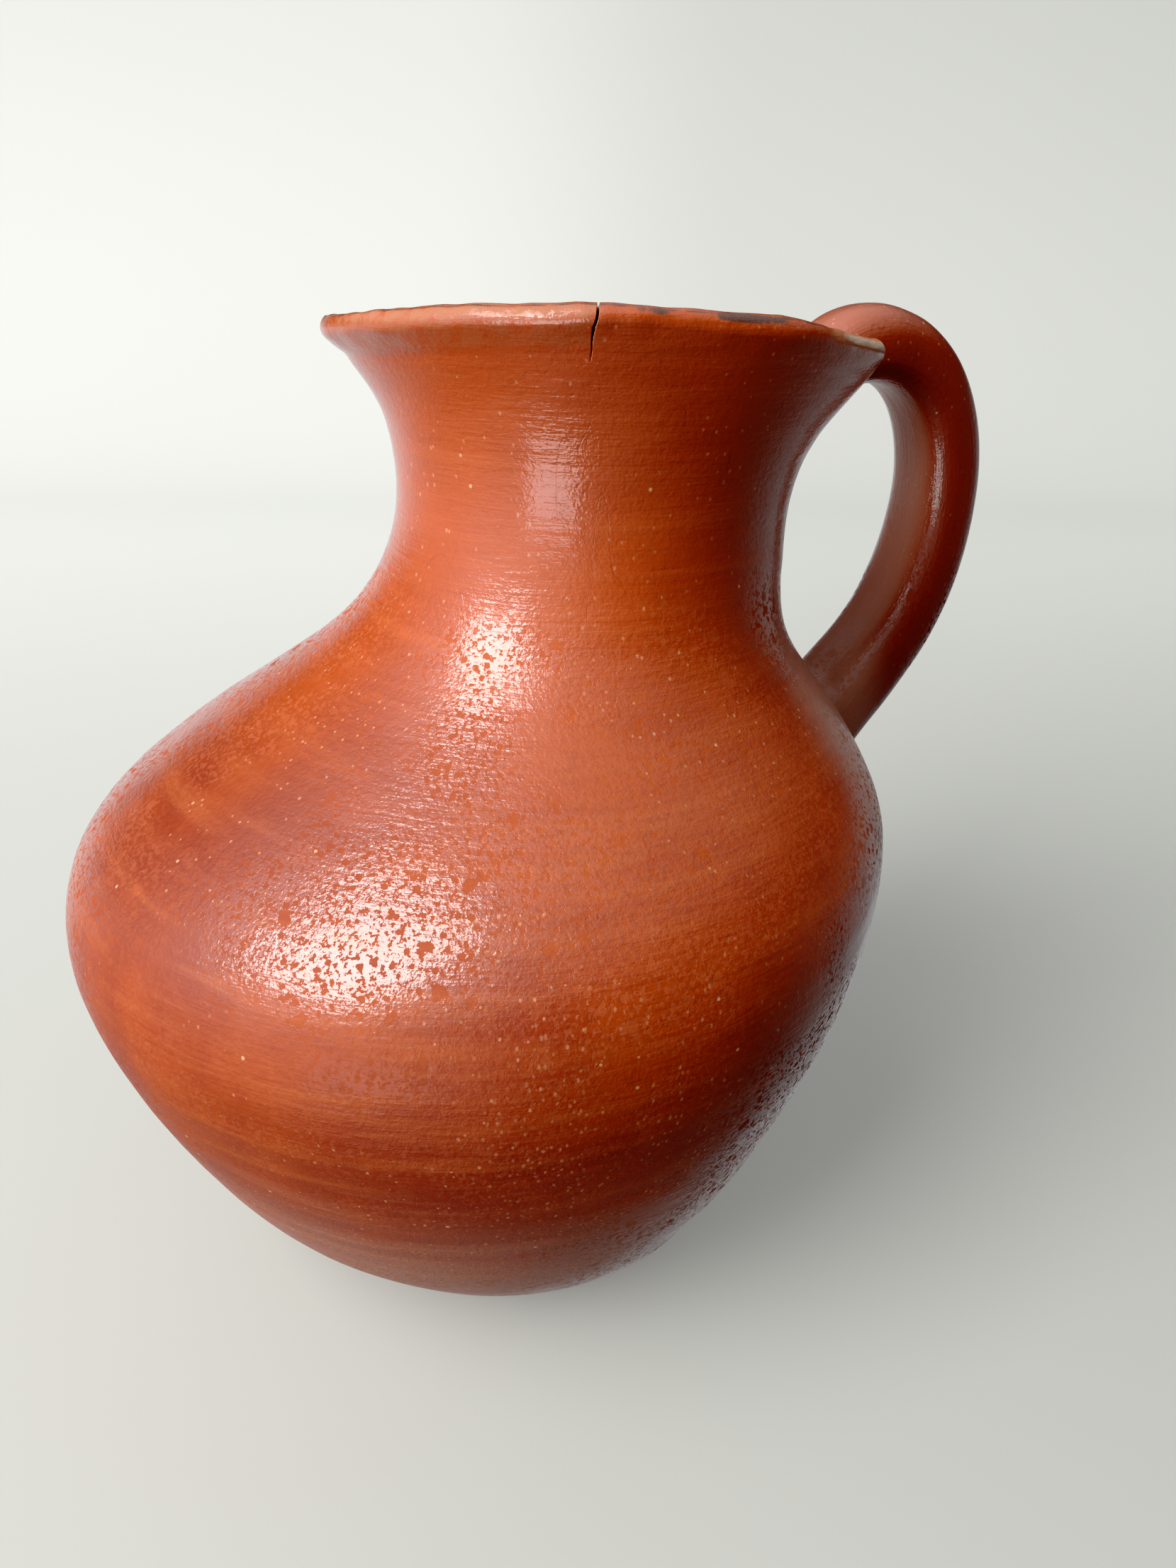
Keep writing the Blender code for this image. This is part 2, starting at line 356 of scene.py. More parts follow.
def stepped(low, high, step):
    count = max(2, math.ceil((high - low) / step - 1e-6) + 1)
    return np.linspace(low, high, count)


def outer_rings(ribbon):
    for radius in np.linspace(POLE_RADIUS, FLOOR_RADIUS, UNDERSIDE_RINGS):
        ribbon.add(disc_row(radius, 0.0), 0.0, 0.0)
    for height in FOOT_HEIGHTS:
        ribbon.add(foot_row(height), height, 0.0)
    ribbon.add(wall_row(FOOT_ROUND, 0.0), FOOT_ROUND, 0.0)
    low = FOOT_ROUND
    for name, high in JOINTS.items():
        step = ROW_STEP if high < LIP_FINE_FROM else LIP_ROW_STEP
        for height in stepped(low, high, step)[1:]:
            ribbon.add(wall_row(height, 0.0), height, 0.0)
        ribbon.mark((name, "outside"))
        low = high
    for height in stepped(low, LIP_ROUND_FROM, LIP_ROW_STEP)[1:]:
        ribbon.add(wall_row(height, 0.0), height, 0.0)


def lip_rings(ribbon):
    here, upward, normal = wall_frame(LIP_ROUND_FROM)
    half = thickness(LIP_ROUND_FROM) / 2
    centre = here - normal * half
    for turn in np.linspace(0.0, math.pi, LIP_TURNS + 1)[1:-1]:
        height = LIP_ROUND_FROM + half * math.sin(turn)
        row = centre + half * (math.cos(turn) * normal + math.sin(turn) * upward)
        ribbon.add(row, height, turn / math.pi)


def inner_rings(ribbon):
    high = LIP_ROUND_FROM
    ribbon.add(wall_row(high, thickness(high)), high, 1.0)
    for name, height_outside in reversed(list(JOINTS.items())):
        low = min(height_outside + JOINT_RISE, LIP_ROUND_FROM - MM)
        step = ROW_STEP if high < LIP_FINE_FROM else LIP_ROW_STEP
        for height in stepped(low, high, step)[::-1][1:]:
            ribbon.add(wall_row(height, thickness(height)), height, 1.0)
        ribbon.mark((name, "inside"))
        high = low
    edge = ribbon.rows[-1]
    floor = disc_row(FLOOR_RADIUS, FLOOR_TOP)
    bend = (edge + floor) / 2
    bend[:, 2] = FLOOR_TOP
    for share in np.linspace(0.0, 1.0, FLOOR_RINGS)[1:]:
        row = (1 - share) ** 2 * edge + 2 * share * (1 - share) * bend + share ** 2 * floor
        ribbon.add(row, high, 1.0)
    for radius in np.linspace(FLOOR_RADIUS, POLE_RADIUS, FLOOR_RINGS)[1:]:
        ribbon.add(disc_row(radius, FLOOR_TOP), high, 1.0)


def grid_normals(grid):
    """Normals of a grid of rings, from its neighbours on both sides."""
    around = np.roll(grid, -1, axis=1) - np.roll(grid, 1, axis=1)
    upward = np.gradient(grid, axis=0)
    return unit(np.cross(around, upward))


def crack_depth(height, side):
    """How deep the crack is cut at each column, for one ring of the ribbon."""
    down = np.clip((LIP_ROUND_FROM + CRACK_ABOVE - height) / CRACK_LENGTH, 0.0, 1.0)
    path = CRACK_TOP - CRACK_LEAN * down * CRACK_LENGTH / MM
    wander = CRACK_WANDER * math.sin(down * CRACK_WANDERS)
    away = np.abs(ANGLES - path - wander) * CRACK_RIM_RADIUS
    half_width = CRACK_HALF_WIDTH * (1.0 - CRACK_NARROWING * down)
    share = np.clip(1.0 - away / half_width, 0.0, 1.0)
    reach = CRACK_DEPTH * (1.0 - smooth_step(down, 0.75, 1.0))
    if side == 1.0:
        reach = reach * (1.0 - smooth_step(down, 0.35, 0.6))
    return share * reach


def shape_by_hand(ribbon):
    """Move the smooth rings by the small unevenness that hands, coils and rubbing leave."""
    grid = np.array(ribbon.rows)
    height = np.array(ribbon.height)[:, None]
    side = np.array(ribbon.side)[:, None]
    turn = np.degrees(ANGLES)[None, :]
    normal = grid_normals(grid)
    free = smooth_step(height, 2.0 * MM, 14.0 * MM)
    skin = waves(grid, SWELL_WIDE) + waves(grid, SWELL_NARROW) - SKIN_ROOM
    skin += (waves(grid, STROKES_WIDE) + waves(grid, STROKES_NARROW)) * (1 - side)
    skin += waves(grid, INSIDE_RIDGES) * side
    near_lip = smooth_step(height, 145.0 * MM, 149.5 * MM)
    lip = near_lip * (waves(grid, LIP_WAVES) + waves(grid, LIP_RIPPLES))
    edge_height, edge_spread, edge_depth = COIL_EDGE
    coil_edge = hump(height, edge_height, edge_spread) * (1 - side)
    coil_edge = coil_edge * (edge_depth + waves(grid, COIL_EDGE_BREAKS))
    floor = waves(grid, FLOOR_WAVES) * (side == 1.0) * (height < 12 * MM)
    roll = hump(height, ROLL_HEIGHT, ROLL_SPREAD) * (side < 0.5)
    roll = ROLL_SIZE * roll * between(turn, ROLLED)
    crack = np.array([crack_depth(h, s) for h, s in zip(ribbon.height, ribbon.side)])
    flare = smooth_step(height, 136.0 * MM, 149.0 * MM)
    outward = np.stack([np.cos(ANGLES), np.sin(ANGLES), 0 * ANGLES], axis=-1)
    grid = grid + outward[None] * (flare * humps(turn, PUSHED_OUT))[..., None]
    grid[..., 2] -= humps(turn, SAGS) * smooth_step(height, 118.0 * MM, 150.0 * MM)
    move = free * skin + lip - coil_edge + roll + floor - crack
    return grid + normal * move[..., None], crack


def ring_faces(first, second, columns):
    """Quads between two rings whose vertices start at the two given numbers."""
    faces = []
    for column in range(columns):
        beside = (column + 1) % columns
        faces.append((first + column, first + beside, second + beside, second + column))
    return faces


def fan_faces(ring, pole, columns, forward):
    faces = []
    for column in range(columns):
        beside = (column + 1) % columns
        pair = (ring + column, ring + beside) if forward else (ring + beside, ring + column)
        faces.append((*pair, pole))
    return faces


def piece_from_rings(name, grid, normals, runs, attributes, caps=(False, False)):
    """A closed mesh from one or two runs of rings of a grid. Runs are (first, last) ring numbers.

    The runs are joined end to end. Where an end isn't joined to the other end, caps close it with
    a fan. The faces inside a run take the grid's own normals, so neighbouring pieces shade as one
    surface.
    """
    columns = grid.shape[1]
    order = [list(range(low, high + 1)) for low, high in runs]
    rings = [ring for run in order for ring in run]
    vertices = grid[rings].reshape(-1, 3)
    faces = []
    smooth_of_face = []
    number = 0
    for run in order:
        for step in range(len(run) - 1):
            faces += ring_faces((number + step) * columns, (number + step + 1) * columns, columns)
            smooth_of_face += [True] * columns
        number += len(run)
        if number < len(rings):
            faces += ring_faces((number - 1) * columns, number * columns, columns)
            smooth_of_face += [False] * columns
    last = (len(rings) - 1) * columns
    extra = []
    extra_normals = []
    if not any(caps):
        faces += ring_faces(last, 0, columns)
        smooth_of_face += [False] * columns
    ends = ((caps[0], 0, rings[0], False), (caps[1], last, rings[-1], True))
    for cap, ring, row, forward in ends:
        if cap:
            pole = len(vertices) + len(extra)
            extra.append(grid[row].mean(axis=0))
            extra_normals.append(unit(normals[row].mean(axis=0)))
            faces += fan_faces(ring, pole, columns, forward)
            smooth_of_face += [cap == "smooth"] * columns
    if extra:
        vertices = np.concatenate([vertices, np.array(extra)])
    mesh = bpy.data.meshes.new(name)
    mesh.from_pydata(vertices.tolist(), [], faces)
    mesh.shade_smooth()
    ring_normals = normals[rings].reshape(-1, 3)
    vertex_normals = np.concatenate([ring_normals, np.array(extra_normals).reshape(-1, 3)])
    set_normals(mesh, vertex_normals, smooth_of_face)
    for key, values in attributes.items():
        values = values[rings].reshape(-1, *values.shape[2:])
        if extra:
            values = np.concatenate([values, np.repeat(values[-1:], len(extra), axis=0)])
        kind = "FLOAT_VECTOR" if values.ndim == 2 else "FLOAT"
        field = "vector" if values.ndim == 2 else "value"
        layer = mesh.attributes.new(key, kind, "POINT")
        layer.data.foreach_set(field, values.astype(np.float32).ravel())
    return new_object(name, mesh)


def set_normals(mesh, vertex_normals, smooth_of_face):
    """Give the smooth faces the grid's normals. The hidden joint faces keep their own."""
    corners = np.zeros(len(mesh.loops), dtype=np.int64)
    mesh.loops.foreach_get("vertex_index", corners)
    normals = vertex_normals[corners]
    corner_counts = [len(polygon.vertices) for polygon in mesh.polygons]
    face_of_corner = np.repeat(np.arange(len(mesh.polygons)), corner_counts)
    flat = ~np.array(smooth_of_face)[face_of_corner]
    face_normals = np.zeros(len(mesh.polygons) * 3)
    mesh.polygons.foreach_get("normal", face_normals)
    normals[flat] = face_normals.reshape(-1, 3)[face_of_corner[flat]]
    mesh.normals_split_custom_set(normals.tolist())


# How worn the top of the rim is, everywhere and left of the crack, and how much paler it is made at
# the right end.
LIP_WEAR, LIP_WEAR_LEFT, LIP_PALER_RIGHT = 0.3, 0.3, 0.75
SMALL_SMUDGE_SHARE = 0.8
RIM_SHADE_LINE_SHARE = 0.75
# How strongly the low wall gets the pale veil: slip left without rubbing, and a painted reflection.
LOW_UNRUBBED_AND_REFLECTION = 0.8
# The wavelengths of the rubbing strokes: along them and across them.
STROKE_LENGTH = 22.0
STROKE_WIDTH = 1.6


def wall_attributes(grid, ribbon, crack):
    """Masks and stroke directions that the clay's material reads, one value for each point.

    side is 0 outside and 1 inside, and lies between them on the rounded lip.
    """
    height = np.array(ribbon.height)[:, None] * np.ones((1, len(ANGLES)))
    side = np.array(ribbon.side)[:, None] * np.ones((1, len(ANGLES)))
    turn = np.degrees(ANGLES)[None, :] + 0.0 * height
    left = between(turn, LEFT_OF_CRACK)
    top = smooth_step(height, LIP_ROUND_FROM + 0.3 * MM, LIP_ROUND_FROM + 1.6 * MM)
    worn = LIP_WEAR + LIP_WEAR_LEFT * left + LIP_PALER_RIGHT * between(turn, RIGHT_END)
    band = smooth_step(height, 145.4 * MM, 146.6 * MM) * (1 - smooth_step(side, 0.5, 0.9)) * left
    inside = smooth_step(side, 0.6, 1.0) * (1 - smooth_step(height, 128.0 * MM, 140.0 * MM))
    smudge = SMALL_SMUDGE_SHARE * between(turn, SMALL_SMUDGE) + between(turn, LARGE_SMUDGE)
    smudge = smudge * smooth_step(height, 148.6 * MM, 149.8 * MM) * hump(side, 0.42, 0.2)
    # Painted shade: a dark line along the rim's top. It shares its mask with the real soot smudges.
    rim_shade_line = RIM_SHADE_LINE_SHARE * between(turn, RIM_SHADE_LINE) * hump(side, 0.5, 0.1)
    # Near the handle and low on the wall the slip is left without rubbing, and a pale reflection of
    # the surroundings is painted there as well.
    near_handle = 1 - smooth_step(np.minimum(turn, 360 - turn), 30, 70)
    behind = near_handle * between(height, np.array([52.0, 94.0, 138.0, 147.0]) * MM) * (side < 0.5)
    low = LOW_UNRUBBED_AND_REFLECTION * (1 - smooth_step(height, 10.0 * MM, 68.0 * MM))
    return {
        "lip_wear": top * hump(side, 0.34, 0.36) * worn,
        "lip_band": band,
        "inside": inside,
        "foot_wear": 1 - smooth_step(height, 0.5 * MM, 7.0 * MM),
        "stain_and_shade": np.maximum(smudge, rim_shade_line),
        "unrubbed_and_reflection": np.maximum(behind, low),
        # No painted handle shade on the wall.
        "deep": 0.0 * height,
        # How dark the crack is painted, as shade, from its depth.
        "crack": np.clip(crack / (0.4 * MM), 0, 1),
        "stroke": grid / np.array([STROKE_LENGTH, STROKE_LENGTH, STROKE_WIDTH]) / MM,
    }


def build_wall():
    """All the wall's pieces, each in place of its CAD node."""
    ribbon = Ribbon()
    outer_rings(ribbon)
    lip_rings(ribbon)
    inner_rings(ribbon)
    grid, crack = shape_by_hand(ribbon)
    resting = UNDERSIDE_RINGS + len(FOOT_HEIGHTS)
    grid[:resting, :, 2] = np.array(ribbon.rows)[:resting, :, 2]
    normals = grid_normals(grid)
    attributes = wall_attributes(grid, ribbon, crack)
    marks = ribbon.marks
    last = len(grid) - 1
    plan = {
        "base_pad": [(0, marks["pad_top", "outside"]), (marks["pad_top", "inside"], last)],
        "lip_coil": [(marks["flare_top", "outside"], marks["flare_top", "inside"])],
    }
    names = list(JOINTS)
    bands = [
        "lower_wall", "belly_band", "upper_belly_band", "shoulder_band", "neck_band", "mouth_flare",
    ]
    for name, low, high in zip(bands, names, names[1:]):
        outside = (marks[low, "outside"], marks[high, "outside"])
        inside = (marks[high, "inside"], marks[low, "inside"])
        plan[name] = [outside, inside]
    pieces = {}
    for name, runs in plan.items():
        caps = ("smooth", "smooth") if name == "base_pad" else (False, False)
        pieces[name] = piece_from_rings(name + "_clay", grid, normals, runs, attributes, caps)
    return grid, pieces


def surface_tree(grid):
    """A search tree over the whole wall's surface, outside and inside."""
    columns = grid.shape[1]
    faces = []
    for ring in range(grid.shape[0] - 1):
        faces += ring_faces(ring * columns, (ring + 1) * columns, columns)
    return BVHTree.FromPolygons(grid.reshape(-1, 3).tolist(), faces)


class HandleShape:
    """The handle's bar before its ends are worked into the wall."""

    def __init__(self):
        chords = np.hypot(np.diff(HANDLE[:, 0]), np.diff(HANDLE[:, 1]))
        along = np.concatenate([[0.0], np.cumsum(chords)])
        self.length = along[-1]
        self.x = spline(along, HANDLE[:, 0])
        self.z = spline(along, HANDLE[:, 1])
        self.half = spline(along, HANDLE[:, 2])

    def line(self, at):
        """The centre line's x and z, carried on straight beyond its ends."""
        inside = min(max(at, 0.0), self.length)
        near = min(max(inside, END_STEP), self.length - END_STEP)
        slope_x = (self.x(near + END_STEP) - self.x(near - END_STEP)) / (2 * END_STEP)
        slope_z = (self.z(near + END_STEP) - self.z(near - END_STEP)) / (2 * END_STEP)
        return self.x(inside) + slope_x * (at - inside), self.z(inside) + slope_z * (at - inside)

    def point(self, at, turn):
        """A point of the bar at a distance along it and a turn round it, 0 on the outer side."""
        centre_x, centre_z = self.line(at)
        ahead_x, ahead_z = self.line(at + END_STEP)
        behind_x, behind_z = self.line(at - END_STEP)
        size = math.hypot(ahead_x - behind_x, ahead_z - behind_z)
        run_x, run_z = (ahead_x - behind_x) / size, (ahead_z - behind_z) / size
        across, over = math.sin(turn), math.cos(turn)
        power = HANDLE_SQUARENESS
        rounding = (abs(across) ** power + abs(over) ** power) ** (-1 / power)
        reach = self.half(at) * rounding * over * (HANDLE_INNER_FLATTENING if over < 0 else 1.0)
        width = self.half(at) * rounding * across * HANDLE_WIDTH
        centre = np.array([FOOT_X + centre_x, 0.0, centre_z])
        return centre + np.array([-run_z * reach, width, run_x * reach])


HANDLE_TURNS = 64
HANDLE_RINGS = 120
FILLET_RINGS = 14
FILLET_PULL = 0.62
# How far the worked clay runs out from the handle on its outer side, its flanks and its inner side.
UPPER_FILLET = {"outer": 1.8 * MM, "side": 4.2 * MM, "inner": 4.8 * MM}
LOWER_FILLET = {"outer": 4.8 * MM, "side": 5.4 * MM, "inner": 8.2 * MM}
# How far a fillet's edge lies under the wall's surface, and how deep its root goes.
SINK = 0.05 * MM
ROOT = 1.2 * MM
SEARCH_STEP = 0.5 * MM
HALVINGS = 12
# Where along the handle the search for the wall starts, towards each end.
UPPER_SEARCH_FROM = 0.22
LOWER_SEARCH_FROM = 0.7


def fillet_size(sizes, turn):
    """Blend the fillet's size round the handle between its outer, side and inner values."""
    over = math.cos(turn)
    far = sizes["outer"] if over > 0 else sizes["inner"]
    return sizes["side"] + (far - sizes["side"]) * over * over


def depth_outside(tree, point):
    found, normal = tree.find_nearest(Vector(point))[:2]
    return (Vector(point) - found).dot(normal)


def meet_wall(shape, tree, turn, start, towards):
    """Distance along the handle at which one of its lines enters the wall."""
    step = SEARCH_STEP * towards
    at = start
    while depth_outside(tree, shape.point(at + step, turn)) > 0 and abs(at - start) < shape.length:
        at += step
    low, high = at, at + step
    for _ in range(HALVINGS):
        middle = (low + high) / 2
        if depth_outside(tree, shape.point(middle, turn)) > 0:
            low = middle
        else:
            high = middle
    return low


def fillet(shape, tree, turns, start, towards, sizes):
    """Rings from the handle out onto the wall, tangent to both, and where they leave it."""
    entries = [meet_wall(shape, tree, turn, start, towards) for turn in turns]
    corners = np.array([shape.point(at, turn) for at, turn in zip(entries, turns)])
    middle = corners.mean(axis=0)
    leaving = []
    columns = []
    for turn, entry, corner in zip(turns, entries, corners):
        size = fillet_size(sizes, turn)
        before = shape.point(entry - towards * SEARCH_STEP, turn)
        speed = np.linalg.norm(before - corner) / SEARCH_STEP
        leave = entry - towards * size / speed
        start_point = shape.point(leave, turn)
        normal = np.array(tree.find_nearest(Vector(corner))[1])
        outward = corner - middle
        outward = unit(outward - normal * outward.dot(normal))
        found, end_normal = tree.find_nearest(Vector(corner + outward * size))[:2]
        end_normal = np.array(end_normal)
        end = np.array(found) - end_normal * SINK
        back = unit(-outward + end_normal * outward.dot(end_normal))
        pull_start = start_point + (corner - start_point) * FILLET_PULL
        pull_end = end + back * size * FILLET_PULL
        shares = np.linspace(0.0, 1.0, FILLET_RINGS)[:, None]
        line = (1 - shares) ** 3 * start_point + 3 * shares * (1 - shares) ** 2 * pull_start
        line += 3 * shares ** 2 * (1 - shares) * pull_end + shares ** 3 * end
        line = np.concatenate([line, [end - end_normal * ROOT]])
        leaving.append(leave)
        columns.append(line)
    return np.array(leaving), np.array(columns).transpose(1, 0, 2)


# How many rings from the handle's lower end the worked clay is left without rubbing and painted
# with a pale reflection, and fully so.
UNRUBBED_AND_REFLECTION_FROM_END = 46
UNRUBBED_AND_REFLECTION_FULL = 8
INNER_FACE_UNRUBBED_AND_REFLECTION = 0.9
TOP_UNRUBBED_AND_REFLECTION = 0.42
STROKE_RADIUS = 7.0


def handle_rings(grid):
    """The handle from the root of one fillet to the root of the other, and where its bar begins."""
    tree = surface_tree(grid)
    shape = HandleShape()
    turns = np.arange(HANDLE_TURNS) * 2 * math.pi / HANDLE_TURNS
    upper_start = shape.length * UPPER_SEARCH_FROM
    lower_start = shape.length * LOWER_SEARCH_FROM
    upper_leave, upper = fillet(shape, tree, turns, upper_start, -1, UPPER_FILLET)
    lower_leave, lower = fillet(shape, tree, turns, lower_start, 1, LOWER_FILLET)
    bar = []
    for share in np.linspace(0.0, 1.0, HANDLE_RINGS):
        places = upper_leave + (lower_leave - upper_leave) * share
        bar.append([shape.point(at, turn) for at, turn in zip(places, turns)])
    whole = np.concatenate([upper[::-1], np.array(bar)[1:-1], lower])
    rings = np.arange(len(whole))[:, None]
    free = between(rings, (3, 16, len(whole) - 17, len(whole) - 4))
    uneven = waves(whole, HANDLE_SWELL) + waves(whole, HANDLE_STROKES) - HANDLE_SKIN_ROOM
    return whole + grid_normals(whole) * (free * uneven)[..., None], len(upper) - 1, turns


def handle_attributes(whole, turns):
    """The masks and stroke directions of wall_attributes, for the handle's rings."""
    steps = np.linalg.norm(np.diff(whole.mean(axis=1), axis=0), axis=1)
    length = np.concatenate([[0.0], np.cumsum(steps)])[:, None]
    rings = np.arange(len(whole))[:, None]
    outer, flank = np.cos(turns)[None, :], np.sin(turns)[None, :]
    # The inner face, the top and the lower end get the pale veil: slip left without rubbing, and a
    # painted reflection of the cloth and window.
    inner_face = INNER_FACE_UNRUBBED_AND_REFLECTION * smooth_step(-outer, 0.66, 0.97)
    by_wall = smooth_step(rings, len(whole) - UNRUBBED_AND_REFLECTION_FROM_END, len(whole) - UNRUBBED_AND_REFLECTION_FULL)
    on_top = 1 - smooth_step(length, 14.0 * MM, 34.0 * MM)
    on_top = TOP_UNRUBBED_AND_REFLECTION * on_top * smooth_step(outer, 0.0, 0.6)
    unrubbed_and_reflection = np.maximum(inner_face, np.maximum(by_wall, on_top))
    stroke = np.zeros(whole.shape)
    stroke[..., 0] = outer * STROKE_RADIUS / STROKE_WIDTH
    stroke[..., 1] = flank * STROKE_RADIUS / STROKE_WIDTH
    stroke[..., 2] = length / (STROKE_LENGTH * MM)
    # deep paints shade on the handle, which lies on the side away from the light: it is darker
    # wherever the veil is not.
    attributes = {"unrubbed_and_reflection": unrubbed_and_reflection, "deep": 1 - unrubbed_and_reflection, "stroke": stroke}
    for name in ("lip_wear", "lip_band", "inside", "foot_wear", "stain_and_shade", "crack"):
        attributes[name] = np.zeros(whole.shape[:2])
    return attributes


def build_handle(grid):
    """The handle and the clay worked round its two ends, each in place of its CAD node."""
    whole, top_ring, turns = handle_rings(grid)
    normals = grid_normals(whole)
    attributes = handle_attributes(whole, turns)
    low_ring = top_ring + HANDLE_RINGS - 1
    runs = {
        "upper_lute": (0, top_ring),
        "handle": (top_ring, low_ring),
        "lower_lute": (low_ring, len(whole) - 1),
    }
    caps = ("flat", "flat")
    pieces = {}
    for name, run in runs.items():
        pieces[name] = piece_from_rings(name + "_clay", whole, normals, [run], attributes, caps)
    return pieces


class Nodes:
    """Short calls to lay out a node tree."""

    def __init__(self, owner, shader="Principled BSDF"):
        owner.use_nodes = True
        self.owner = owner
        self.tree = owner.node_tree
        self.shader = self.tree.nodes[shader]

    def add(self, kind, settings=(), **inputs):
        made = self.tree.nodes.new("ShaderNode" + kind)
        for key, value in dict(settings).items():
            setattr(made, key, value)
        for key, value in inputs.items():
            self.put(made.inputs[key.replace("_", " ")], value)
        return made

    def put(self, socket, value):
        if isinstance(value, bpy.types.NodeSocket):
            self.tree.links.new(value, socket)
        else:
            socket.default_value = value

    def shade(self, values):
        """Set or link the shader's own sockets, by name."""
        for name, value in values.items():
            self.put(self.shader.inputs[name], value)

    def math(self, operation, first, second=0.0):
        made = self.tree.nodes.new("ShaderNodeMath")
        made.operation = operation
        for socket, value in zip(made.inputs, (first, second)):
            self.put(socket, value)
        return made.outputs[0]

    def times(self, *values):
        """The product of all the values."""
        product = values[0]
        for value in values[1:]:
            product = self.math("MULTIPLY", product, value)
        return product

    def highest(self, *values):
        most = values[0]
        for value in values[1:]:
            most = self.math("MAXIMUM", most, value)
        return most

    def attribute(self, name, output="Fac"):
        return self.add("Attribute", {"attribute_name": name}).outputs[output]

    def dot(self, vector, direction):
        made = self.tree.nodes.new("ShaderNodeVectorMath")
        made.operation = "DOT_PRODUCT"
        self.put(made.inputs[0], vector)
        made.inputs[1].default_value = direction
        return made.outputs["Value"]

    def scaled(self, vector, scale):
        made = self.tree.nodes.new("ShaderNodeVectorMath")
        made.operation = "MULTIPLY"
        self.put(made.inputs[0], vector)
        made.inputs[1].default_value = scale if hasattr(scale, "__len__") else (scale, scale, scale)
        return made.outputs[0]

    def noise(self, vector, scale, detail=2.0, roughness=0.5):
        made = self.add("TexNoise", Vector=vector, Scale=scale, Detail=detail, Roughness=roughness)
        return made.outputs["Fac"]

    def spots(self, vector, scale, high, low, channel, pick, wobble, wobble_size):
        """Scattered spots, 1 inside and 0 outside, in the cells whose random value passes pick.

        high and low are the radii where a spot ends and where it is full. wobble bends its edge.
        """
        cells = self.add("TexVoronoi", Vector=vector, Scale=scale)
        wobbled = self.times(wobble, wobble_size)
        wobbled = self.math("ADD", cells.outputs["Distance"], wobbled)
        inside = self.ramp(wobbled, high + wobble_size / 2, low + wobble_size / 2)
        chance = self.add("SeparateColor", Color=cells.outputs["Color"]).outputs[channel]
        return self.math("MULTIPLY", inside, self.math("GREATER_THAN", chance, pick))

    def ramp(self, value, low, high):
        """A smooth step from 0 at low to 1 at high. Low may be above high."""
        made = self.add("MapRange", {"interpolation_type": "SMOOTHSTEP"}, Value=value)
        made.inputs["From Min"].default_value = low
        made.inputs["From Max"].default_value = high
        return made.outputs["Result"]

    def mix(self, share, first, second):
        """Mix two colours."""
        made = self.tree.nodes.new("ShaderNodeMix")
        made.data_type = "RGBA"
        self.put(made.inputs["Factor"], share)
        for number, colour in ((6, first), (7, second)):
            is_socket = isinstance(colour, bpy.types.NodeSocket)
            self.put(made.inputs[number], colour if is_socket else (*colour, 1.0))
        return made.outputs[2]

    def mix_value(self, share, first, second):
        made = self.tree.nodes.new("ShaderNodeMix")
        made.data_type = "FLOAT"
        self.put(made.inputs["Factor"], share)
        self.put(made.inputs[2], first)
        self.put(made.inputs[3], second)
        return made.outputs[0]

    def tint(self, colour, mask, strength, tone):
        """The colour with a tone mixed in where the mask says, by the given strength at most."""
        return self.mix(self.times(mask, strength), colour, tone)


SLIP_RED = (0.34, 0.048, 0.006)
SLIP_DEEP = (0.22, 0.022, 0.003)
SLIP_PALE = (0.39, 0.072, 0.013)
PAINTED_NECK_LIGHT = (0.52, 0.078, 0.008)
SLIP_DUSTY = (0.40, 0.11, 0.05)
GRIT = (0.62, 0.34, 0.19)
FLECK = (0.60, 0.27, 0.15)
BARE_CLAY = (0.36, 0.15, 0.075)
LIP_TAN = (0.37, 0.125, 0.058)
LIP_BAND = (0.36, 0.08, 0.025)
LIP_END = (0.52, 0.36, 0.26)
# The pale veil's colour, for slip left without rubbing and for a painted reflection.
UNRUBBED_AND_REFLECTION = (0.46, 0.24, 0.175)
SOOT_AND_SHADE = (0.035, 0.024, 0.020)
CRACK_SHADE = (0.02, 0.008, 0.005)


UP = (0.0, 0.0, 1.0)
# The directions of the flecked low front and of the less rubbed left.
LOW_FRONT = (0.45, -0.9, 0.0)
LEFT_FRONT = (-0.6, -0.8, 0.0)


